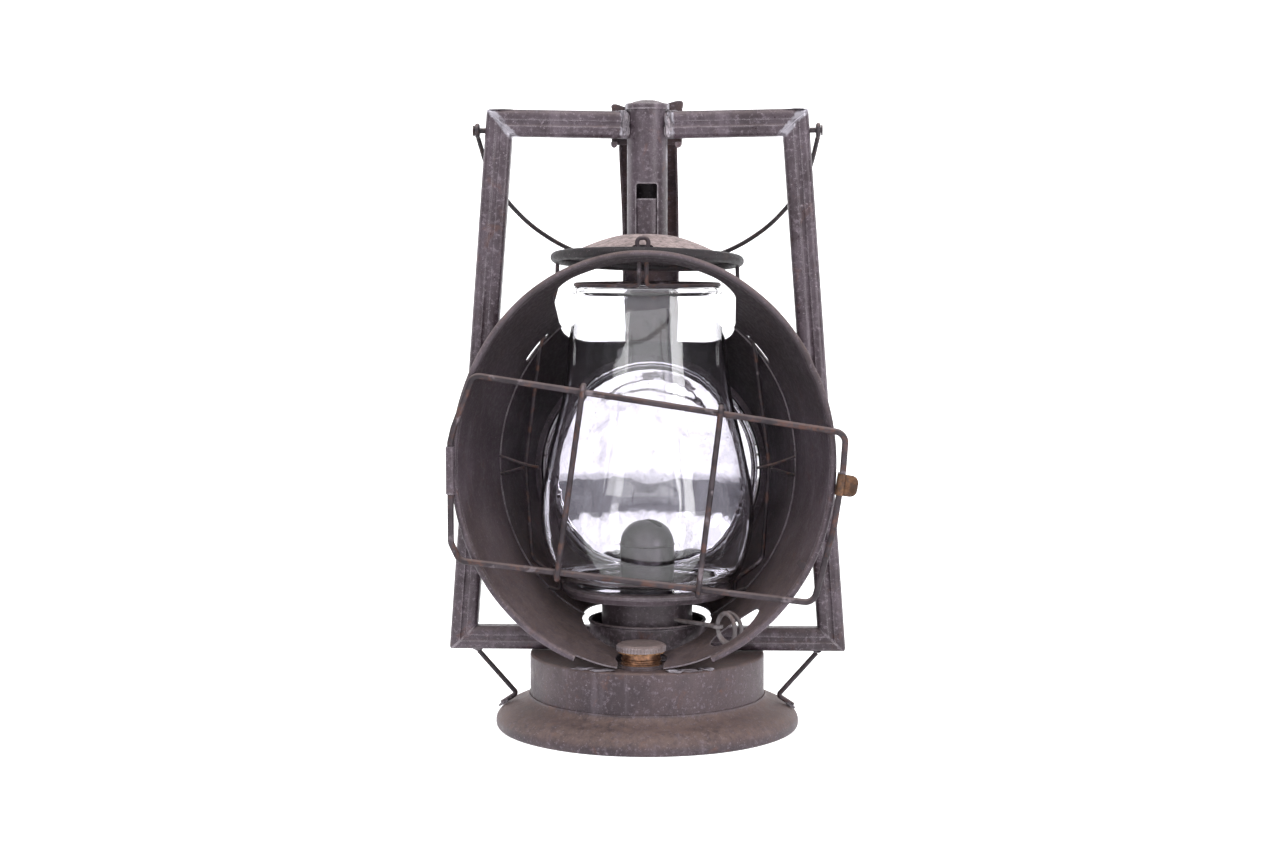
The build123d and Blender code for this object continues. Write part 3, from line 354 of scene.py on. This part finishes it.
# The bell's tin tones are far darker than the other tin: painted shade, chiefly for its rim. The pale dust
# on its dome is dust.
bell_tin = worn_tin(
    "bell_tin", dark=srgb(22, 17, 20), mid=srgb(34, 28, 32), pale=srgb(58, 50, 55),
    dust=1.0, rust=0.2, gloss=0.3, edge_wear_and_highlight=0.0, dust_tone=PALE_DUST,
    dusty_within=44 * MM,
)
rear_tin = worn_tin("rear_tin", mid=srgb(84, 66, 66), dust=0.3, rust=0.8, gloss=0.3)
burner_tin = worn_tin(
    "burner_tin", dark=srgb(52, 44, 48), mid=srgb(78, 68, 74), dust=0.3, rust=0.4, gloss=0.6,
)
cap_tin = worn_tin("cap_tin", mid=srgb(112, 98, 96), dust=0.75, rust=0.7, gloss=0.2)
iron_wire = worn_wire("iron_wire", srgb(38, 31, 36), srgb(62, 53, 58), srgb(112, 103, 108), rust=0.5)
bail_iron = worn_wire("bail_iron", srgb(38, 34, 38), srgb(58, 52, 56), srgb(88, 80, 84), rust=0.25)
bright_wire = worn_wire("bright_wire", srgb(96, 90, 92), srgb(138, 132, 134), srgb(190, 186, 188), rust=0.3)
copper = worn_brass("copper", srgb(112, 82, 62), srgb(70, 52, 42), 0.7)
dome_steel = worn_brass("dome_steel", srgb(78, 72, 80), srgb(50, 46, 52), 0.25)
brass = worn_brass("brass", srgb(150, 110, 84), srgb(96, 70, 56))
glass = old_glass()
silver = silvering()
cork = soft_stuff("cork", srgb(150, 112, 78), srgb(92, 64, 44), 700)
cotton = soft_stuff("cotton", srgb(210, 200, 184), srgb(120, 104, 92), 1500)

FINISHES = (
    (frame_tin, "lower_tube_left lower_tube_right side_tube_left side_tube_right top_tube_left"),
    (frame_tin, "top_tube_right centre_tube tube_liner tube_cap guard_sleeve"),
    (rear_tin, "handle_plate rear_strap"),
    (base_tin, "base_ring fount_body fount_bottom filler_collar"),
    (hood_tin, "front_hood rear_hood reflector_pan"),
    (bell_tin, "bell"),
    (burner_tin, "air_drum burner_body wick_tube globe_plate star_wheels"),
    (cap_tin, "cap_head"),
    (iron_wire, "hood_rim_wire cage_wires guard_frame guard_uprights globe_retainer"),
    (iron_wire, "brace_wires cage_guides"),
    (bail_iron, "bail bail_pins"),
    (bright_wire, "wick_ring wick_spindle"),
    (dome_steel, "burner_cone"),
    (copper, "guard_catch"),
    (brass, "cap_shank"),
    (glass, "globe"),
    (silver, "reflector_glass"),
    (cork, "cap_gasket"),
    (cotton, "wick"),
)
for material, names in FINISHES:
    for name in names.split():
        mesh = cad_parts[name].data
        mesh.materials.clear()
        mesh.materials.append(material)

# ---- mesh helpers ------------------------------------------------------------------------------
def make_piece(name, vertices, faces, material, body="frame", slot=None, crease=38):
    """A mesh piece that rides on a body, smooth except where it turns by more than crease degrees."""
    mesh = bpy.data.meshes.new(name)
    mesh.from_pydata(vertices, [], faces)
    piece = bpy.data.objects.new(name, mesh)
    bpy.context.scene.collection.objects.link(piece)
    mesh.materials.append(material)
    finish_mesh(mesh, crease)
    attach(piece, body)
    return piece


def finish_mesh(mesh, crease):
    """Joins doubled points, turns the faces outward and smooths them up to the crease angle."""
    work = bmesh.new()
    work.from_mesh(mesh)
    bmesh.ops.remove_doubles(work, verts=work.verts, dist=1e-6)
    bmesh.ops.recalc_face_normals(work, faces=work.faces)
    work.to_mesh(mesh)
    work.free()
    mesh.shade_smooth()
    mesh.set_sharp_from_angle(angle=radians(crease))


def through(points, steps=10):
    """A smooth line through points, as many short runs."""
    ends = [points[0]] + list(points) + [points[-1]]
    line = []
    for a, b, c, d in zip(ends, ends[1:], ends[2:], ends[3:]):
        for i in range(steps):
            t = i / steps
            place = []
            for p, q, r, s in zip(a, b, c, d):
                bend = (2 * p - 5 * q + 4 * r - s) * t**2
                twist = (3 * q - p - 3 * r + s) * t**3
                place.append(0.5 * (2 * q + (r - p) * t + bend + twist))
            line.append(tuple(place))
    return line + [tuple(points[-1])]


def unevenness(place, amount):
    """How far old tin stands out from its true shape at a place."""
    broad = noise.noise(place * 22 + Vector((3.1, 7.7, 1.3)))
    narrow = noise.noise(place * 61 + Vector((9.2, 2.4, 5.5)))
    return amount * (broad + 0.35 * narrow)


def lathe(name, profile, material, segments=224, uneven=0.0, lay=None, **riding):
    """A closed profile of (radius, height) in millimetres turned round Z, then laid by a matrix."""
    vertices = []
    faces = []
    count = len(profile)
    for k in range(segments):
        turn = tau * k / segments
        outward = Vector((cos(turn), sin(turn), 0))
        for radius, height in profile:
            place = outward * radius * MM + Vector((0, 0, height * MM))
            if uneven and radius > 1:
                place += outward * unevenness(place, uneven)
            vertices.append(lay @ place if lay else place)
        for i in range(count):
            j = (i + 1) % count
            here = k * count
            there = (k + 1) % segments * count
            faces.append((here + i, there + i, there + j, here + j))
    return make_piece(name, vertices, faces, material, **riding)


def rod(name, points, radius, material, sides=18, taper=None, **riding):
    """A round rod along a line of points, with its ends closed."""
    vertices = []
    faces = []
    points = [Vector(p) for p in points]
    side = None
    for i, here in enumerate(points):
        along = (points[min(i + 1, len(points) - 1)] - points[max(i - 1, 0)]).normalized()
        side = side - along * side.dot(along) if side else along.orthogonal()
        side.normalize()
        other = along.cross(side)
        size = radius * (taper(i / (len(points) - 1)) if taper else 1.0)
        for k in range(sides):
            turn = tau * k / sides
            vertices.append(here + (side * cos(turn) + other * sin(turn)) * size)
    for i in range(len(points) - 1):
        for k in range(sides):
            n = (k + 1) % sides
            faces.append((i * sides + k, i * sides + n, (i + 1) * sides + n, (i + 1) * sides + k))
    faces.append(tuple(range(sides))[::-1])
    last = (len(points) - 1) * sides
    faces.append(tuple(range(last, last + sides)))
    return make_piece(name, vertices, faces, material, **riding)


def prism(outline, low, high):
    """A tool of constant section that a hole is cut with."""
    count = len(outline)
    vertices = [(x, y, low) for x, y in outline] + [(x, y, high) for x, y in outline]
    faces = [(i, (i + 1) % count, count + (i + 1) % count, count + i) for i in range(count)]
    faces += [tuple(range(count))[::-1], tuple(range(count, 2 * count))]
    mesh = bpy.data.meshes.new("cutter")
    mesh.from_pydata(vertices, [], faces)
    tool = bpy.data.objects.new("cutter", mesh)
    bpy.context.scene.collection.objects.link(tool)
    return tool


def rounded(width, depth, corner_radius, x=0.0, y=0.0, steps=12):
    """The outline of a rectangle with round corners, in metres from millimetres."""
    outline = []
    for quarter, (across, along) in enumerate(((1, 1), (-1, 1), (-1, -1), (1, -1))):
        for i in range(steps + 1):
            turn = pi / 2 * (quarter + i / steps)
            px = x + across * (width / 2 - corner_radius) + corner_radius * cos(turn)
            py = y + along * (depth / 2 - corner_radius) + corner_radius * sin(turn)
            outline.append((px * MM, py * MM))
    return outline


def round_hole(radius, x=0.0, y=0.0, ragged=0.0, steps=72):
    """The outline of a round hole, a little ragged where it was cut with snips."""
    outline = []
    for i in range(steps):
        turn = tau * i / steps
        rough = ragged * noise.noise(Vector((cos(turn) * 2.2, sin(turn) * 2.2, radius)))
        outline.append(((x + (radius + rough) * cos(turn)) * MM, (y + (radius + rough) * sin(turn)) * MM))
    return outline


def cut(piece, tools, crease=38):
    """Takes the tools out of a piece and leaves a plain mesh."""
    for tool in tools:
        modifier = piece.modifiers.new("hole", "BOOLEAN")
        modifier.operation = "DIFFERENCE"
        modifier.solver = "EXACT"
        modifier.object = tool
    bpy.context.view_layer.update()
    settled = piece.evaluated_get(bpy.context.evaluated_depsgraph_get())
    piece.data = bpy.data.meshes.new_from_object(settled)
    piece.modifiers.clear()
    for tool in tools:
        bpy.data.objects.remove(tool)
    finish_mesh(piece.data, crease)


def blob(name, place, size, material, seed, direction=(0, 0, 1), **riding):
    """A flattened run of solder: a soft uneven lump, size long, wide and high."""
    work = bmesh.new()
    bmesh.ops.create_icosphere(work, subdivisions=5, radius=1.0)
    lay = Vector(direction).to_track_quat("Z", "X").to_matrix()
    vertices = []
    for vertex in work.verts:
        rough = 1 + 0.45 * noise.noise(vertex.co * 1.4 + Vector((seed, 0, 0)))
        rough += 0.16 * noise.noise(vertex.co * 4.0 + Vector((0, seed, 0)))
        shape = Vector(vertex.co[i] * size[i] * MM * rough for i in range(3))
        vertices.append(Vector(place) * MM + lay @ shape)
    faces = [[v.index for v in face.verts] for face in work.faces]
    work.free()
    return make_piece(name, vertices, faces, material, crease=180, **riding)


# ---- hood --------------------------------------------------------------------------------------
HOOD_DENTS = (  # (place, reach, depth inward) in millimetres
    ((89.5, -58, 208), 9, 1.5),
    ((93, -30, 190), 16, 0.9),
    ((-88, -40, 110), 18, 0.8),
    ((60, -50, 66), 20, 0.7),
    ((-58, -30, 235), 16, 0.8),
)


def hood_place(front, back, share, turn, inward=0.0):
    """A point of a hood's outer face, or that far inside it."""
    y, half_width, half_height, centre = (p + (q - p) * share for p, q in zip(front, back))
    place = Vector((half_width * cos(turn), y, centre + half_height * sin(turn)))
    outward = Vector((half_height * cos(turn), 0, half_width * sin(turn))).normalized()
    moved = unevenness(place, 0.35 * MM)
    for spot, reach, depth in HOOD_DENTS:
        away = (place - Vector(spot) * MM).length / (reach * MM)
        moved -= depth * MM * max(0.0, 1 - away * away) ** 2
    return place + outward * (moved - inward)


WINDOW_R = 50
WINDOW_Y = -1.2
WINDOW_CORNER_R = 13
WINDOW_CORNER_Y = -43


def window_outline():
    """The opening the globe rises through: square with round corners in front, half round at the back."""
    outline = []
    for i in range(61):
        turn = pi * i / 60
        outline.append((WINDOW_R * cos(turn) * MM, (WINDOW_R * sin(turn) + WINDOW_Y) * MM))
    inset = WINDOW_R - WINDOW_CORNER_R
    for corner_x, first in ((-inset, pi), (inset, 1.5 * pi)):
        for i in range(13):
            turn = first + pi / 2 * i / 12
            px = corner_x + WINDOW_CORNER_R * cos(turn)
            py = WINDOW_CORNER_R * sin(turn) + WINDOW_CORNER_Y
            outline.append((px * MM, py * MM))
    return outline


def hood_shell(name, front, back, node, steps=26, turns=288):
    """A hood of sheet thickness through two ovals, with its openings cut."""
    vertices = []
    faces = []
    for inward in (0.0, SHEET):
        for j in range(steps + 1):
            for k in range(turns):
                vertices.append(hood_place(front, back, j / steps, tau * k / turns, inward))
    layer = (steps + 1) * turns
    for j in range(steps):
        for k in range(turns):
            n = (k + 1) % turns
            outer = (j * turns + k, j * turns + n, (j + 1) * turns + n, (j + 1) * turns + k)
            faces.append(outer)
            faces.append(tuple(layer + v for v in reversed(outer)))
    for j in (0, steps):
        for k in range(turns):
            n = (k + 1) % turns
            faces.append((j * turns + k, layer + j * turns + k, layer + j * turns + n, j * turns + n))
    shell = make_piece(name, vertices, faces, hood_tin, slot="hood_tin")
    tools = [
        prism(window_outline(), 175 * MM, 290 * MM),
        prism(rounded(13, 4.2, 2.09, -63), 175 * MM, 290 * MM),
        prism(rounded(13, 4.2, 2.09, 63), 175 * MM, 290 * MM),
        prism(round_hole(37.0, ragged=0.9), 30 * MM, 100 * MM),
    ]
    if node == "front_hood":
        tools.append(prism(round_hole(14.4, -1.5, -48.5), 30 * MM, 99 * MM))
        tools.append(prism(rounded(25.4, 24, 0.5, -1.5, -60.5), 30 * MM, 98 * MM))
        tools.append(prism(round_hole(13.5, 50.0, -43.5, ragged=0.5), 30 * MM, 97 * MM))
    cut(shell, tools)
    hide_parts(node)
    return shell


hood_shell("hood_front_shell", HOOD_FRONT, HOOD_LAP, "front_hood")
hood_shell("hood_rear_shell", HOOD_JOIN, HOOD_BACK, "rear_hood")

bead_open = radians(21.3)
bead_points = []
for i in range(241):
    turn = -pi / 2 + bead_open + (tau - 2 * bead_open) * i / 240
    bead_points.append(hood_place(HOOD_FRONT, HOOD_LAP, 0.0, turn, -1.2 * MM))
rod("hood_rolled_edge", bead_points, 1.9 * MM, hood_tin, slot="hood_tin")

# a torn tab of the rolled edge, bent in and up
tab = through([(91.1, -64.4, 99.4), (88.7, -64.6, 100.6), (86.4, -63.6, 101.2), (84.5, -61.4, 103.0)], 6)
tab_vertices = []
tab_faces = []
for i, (x, y, z) in enumerate(tab):
    half = 2.3 - 1.1 * i / (len(tab) - 1)
    for across, thick in ((-half, 0.0), (half, 0.0), (half, 0.5), (-half, 0.5)):
        tab_vertices.append(Vector((x + 0.6 * across, y + 0.5 * thick, z + across + thick)) * MM)
    if i:
        for k in range(4):
            n = (k + 1) % 4
            tab_faces.append((4 * i - 4 + k, 4 * i - 4 + n, 4 * i + n, 4 * i + k))
tab_faces.append((3, 2, 1, 0))
tab_faces.append(tuple(range(len(tab_vertices) - 4, len(tab_vertices))))
make_piece("hood_torn_tab", tab_vertices, tab_faces, iron_wire, slot="hood_tin")

# ---- fount and flared base ---------------------------------------------------------------------
wall = FOUNT_R - 0.8
fount_profile = [(FOUNT_R, 14.0), (FOUNT_R, 22.0), (FOUNT_R, 31.0), (FOUNT_R, 40.4)]
for degrees_up in (20, 40, 60, 75, 90):
    turn = radians(degrees_up)
    fount_profile.append((FOUNT_R - 1.6 + 1.6 * cos(turn), 40.4 + 1.6 * sin(turn)))
fount_profile += [(50, 42.0), (30, 42.0), (16.0, 42.0), (16.0, 41.2), (30, 41.2), (50, 41.2)]
fount_profile += [(wall - 1.1, 41.2)]
fount_profile += [(wall - 0.3, 40.9), (wall, 40.2), (wall, 31.0), (wall, 22.0), (wall, 14.0)]
fount = lathe("fount_shell", fount_profile, base_tin, uneven=0.32 * MM, slot="japanned_tin")
cut(fount, [prism(round_hole(12.5, -1.5, -48.5), 38 * MM, 46 * MM)])
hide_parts("fount_body")

lip = FOUNT_R + 0.1
flare = [(lip, 15.4), (lip, 18.4), (lip + 0.7, 18.4)]
shoulder = [(0.7, 17.4), (1.5, 16.2), (3.6, 14.6), (7.4, 13.0)]
shoulder += [(12.2, 11.3), (16.2, 8.8), (18.8, 5.8), (19.5, 3.8)]
flare += through([(lip + out, height) for out, height in shoulder], 6)
flare += [(BASE_R, 2.0), (BASE_R - 0.15, 1.0), (BASE_R - 0.5, 0.35), (BASE_R - 0.9, 0.0)]
flare += [(BASE_R - 3.3, 0.0)]
flare += [(BASE_R - 3.3, 3.2), (BASE_R - 4.0, 5.8), (lip + 13.4, 8.7), (lip + 9.2, 11.0), (lip + 4.2, 13.0)]
base = lathe("flared_base", flare, base_tin, uneven=0.32 * MM, slot="japanned_tin")
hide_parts("base_ring")

# ---- globe and reflector -----------------------------------------------------------------------
GLOBE_WALL = 1.8
outer = [(41.4, 83.0), (46.0, 84.0), (52.3, 86.6), (55.9, 94.5), (59.3, 106.5)]
outer += [(60.8, 120.0), (60.2, 135.0), (57.0, 151.0), (52.9, 169.0), (48.6, 187.0)]
outer += [(46.4, 203.0), (44.6, 219.0), (42.6, 238.0), (42.1, 246.6)]
inner = [(40.3, 246.6)] + [(r - GLOBE_WALL, z) for r, z in reversed(outer[3:-1])]
inner += [(50.6, 88.2), (45.2, 86.0), (40.0, 85.0)]
globe_profile = [(39.2, 81.3), (40.9, 81.3)] + through(outer, 12)
globe_profile += [(42.8, 247.5), (43.2, 248.4), (43.2, 249.6), (42.8, 250.4), (42.2, 250.8), (40.6, 250.8)]
globe_profile += [(39.9, 249.9), (40.0, 248.2)] + through(inner, 12) + [(39.2, 84.2)]
globe = lathe(
    "globe_glass", globe_profile, glass, 288, uneven=0.25 * MM, body="globe_cage", slot="clear_glass",
)
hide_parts("globe")

DISH_BACK = 76.0
dish = through([(60.2, 65.5), (54.0, 67.4), (45.0, 70.0), (30.0, 73.3), (15.0, 75.4), (0.0, DISH_BACK)], 14)
dish_profile = [(65.4, 67.6), (65.4, 64.7), (64.9, 64.1), (64.0, 64.0), (63.2, 64.5)]
dish_profile += [(62.6, 65.0), (61.6, 64.5), (60.9, 64.9)] + dish + [(0.0, DISH_BACK + 2.8)]
dish_profile += through([(15.0, 78.2), (31.0, 75.9), (50.0, 71.2), (62.0, 68.2)], 8)
lay_dish = Matrix.Translation((0, 0, 140 * MM)) @ Matrix.Rotation(radians(-90), 4, "X")
mirror_piece = lathe("reflector_mirror", dish_profile, silver, 256, lay=lay_dish, slot="mirror_glass")
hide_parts("reflector_glass")

# ---- seams of the tube frame -------------------------------------------------------------------
def thin_ends(t):
    """A rod's thickness along its length: full in the middle, a third at the ends."""
    return 0.35 + 0.65 * sin(pi * t) ** 0.5


tube_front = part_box("top_tube_right")[0].y
for side, label in ((-1, "left"), (1, "right")):
    lip = []
    for i in range(25):
        t = i / 24
        sag = 1.6 * sin(pi * t)
        x = side * (TUBE_CORNER_X / MM + 8.6 - 15.6 * t - 0.72 * sag)
        z = 350.2 - 13.8 * t - 0.7 * sag
        edge = 2.6 * max(0.0, abs(2 * t - 1) - 0.72) / 0.28
        lip.append(Vector((x * MM, tube_front + (0.05 + edge * edge * 0.5) * MM, z * MM)))
    rod(f"seam_corner_{label}", lip, 0.55 * MM, frame_tin, 10, taper=thin_ends)

# ---- solder ------------------------------------------------------------------------------------
solder = worn_solder("old_solder")
CORNER_SOLDER_X = TUBE_CORNER_X / MM + 2
BRACE_FOOT_X = BASE_R - 4.6
BRACE_TOP_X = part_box("brace_wires")[1].x / MM - 0.6
SOLDER_JOINTS = (  # (name, place on the right side, size, seed, direction), in millimetres
    ("solder_tube", (12.8, -6.0, 342.0), (7.0, 3.0, 1.2), 2.0, (0.7, -1, 0)),
    ("solder_tube_top", (13.4, -1.0, 349.3), (5.0, 4.2, 0.8), 5.0, (0, 0, 1)),
    ("solder_corner", (CORNER_SOLDER_X, -1.5, 350.6), (6.5, 4.6, 0.55), 8.0, (0, 0, 1)),
    ("solder_brace", (BRACE_FOOT_X, 0, 11.4), (3.4, 2.6, 1.0), 11.0, (0.6, 0, 1)),
    ("solder_foot", (BRACE_TOP_X, 0, 42.4), (3.2, 2.8, 1.0), 13.0, (0, 0, -1)),
)
for side, label in ((-1, "left"), (1, "right")):
    for name, (x, y, z), size, seed, (out, along, up) in SOLDER_JOINTS:
        blob(f"{name}_{label}", (side * x, y, z), size, solder, seed + side, (side * out, along, up))
for index, (x, length) in enumerate(((-32.5, 5.6), (-22.0, 6.4), (17.5, 4.6), (25.0, 5.8), (34.5, 4.2))):
    y = -((FOUNT_R - 0.4) ** 2 - x * x) ** 0.5
    blob(f"solder_hood_{index + 1}", (x, y + 0.6, 42.6), (length, 1.0, 0.9), solder, 20.0 + index)

# ---- camera, light and floor -------------------------------------------------------------------
scene = bpy.context.scene
camera = bpy.data.objects.new("camera", bpy.data.cameras.new("camera"))
scene.collection.objects.link(camera)
CAMERA_PLACE = (0.045, -1.25, 0.278)
DOWNWARD = 4.885
TURNED = 2.25
camera.location = CAMERA_PLACE
camera.rotation_euler = (radians(90 - DOWNWARD), 0, radians(TURNED))
camera.data.lens = 61.875
camera.data.sensor_width = 36.0
camera.data.clip_end = 20.0
scene.camera = camera

scene.view_settings.view_transform = "Standard"
world = bpy.data.worlds.new("studio")
scene.world = world
world.use_nodes = True
sky = world.node_tree.nodes["Background"]
sky.inputs["Color"].default_value = (0.93, 0.93, 0.97, 1.0)
sky.inputs["Strength"].default_value = 0.33


def softbox(name, place, aim, width, height, power):
    lamp = bpy.data.lights.new(name, "AREA")
    lamp.shape = "RECTANGLE"
    lamp.size = width
    lamp.size_y = height
    lamp.energy = power
    box = bpy.data.objects.new(name, lamp)
    box.location = place
    box.rotation_euler = (Vector(aim) - Vector(place)).to_track_quat("-Z", "Y").to_euler()
    scene.collection.objects.link(box)


# (name, place, what it faces, width, height, power)
softbox("key", (-1.1, -1.5, 1.0), (0, 0, 0.18), 0.8, 1.0, 9)
softbox("fill", (1.3, -1.3, 0.5), (0, 0, 0.18), 0.6, 1.0, 13)
softbox("top", (0.0, -0.3, 1.6), (0, 0, 0.2), 1.8, 1.0, 17)
softbox("overhead_front", (0.0, -1.6, 1.03), (0, 0, 0.15), 2.2, 1.2, 11)
softbox("left_edge", (-1.4, 0.5, 0.5), (0, 0, 0.2), 0.4, 1.2, 5)
softbox("right_edge", (1.4, 0.5, 0.5), (0, 0, 0.2), 0.4, 1.2, 5)


def backdrop():
    """A pale floor that curves up behind into a wall."""
    bend = 0.6
    back = 1.6
    reach = 4.0
    outline = [(-reach, 0.0), (back - bend, 0.0)]
    for i in range(1, 25):
        turn = radians(90 * i / 24)
        outline.append((back - bend + bend * sin(turn), bend - bend * cos(turn)))
    outline.append((back, reach))
    mesh = bpy.data.meshes.new("floor")
    vertices = [(x, y, z) for y, z in outline for x in (-reach, reach)]
    faces = [(2 * i, 2 * i + 1, 2 * i + 3, 2 * i + 2) for i in range(len(outline) - 1)]
    mesh.from_pydata(vertices, [], faces)
    for face in mesh.polygons:
        face.use_smooth = True
    floor = bpy.data.objects.new("floor", mesh)
    scene.collection.objects.link(floor)
    g = Graph("pale_floor")
    g.set(Base_Color=(0.92, 0.92, 0.93, 1.0), Roughness=0.9)
    g.set(Emission_Color=(1.0, 1.0, 1.0, 1.0), Emission_Strength=0.62)
    mesh.materials.append(g.material)


backdrop()
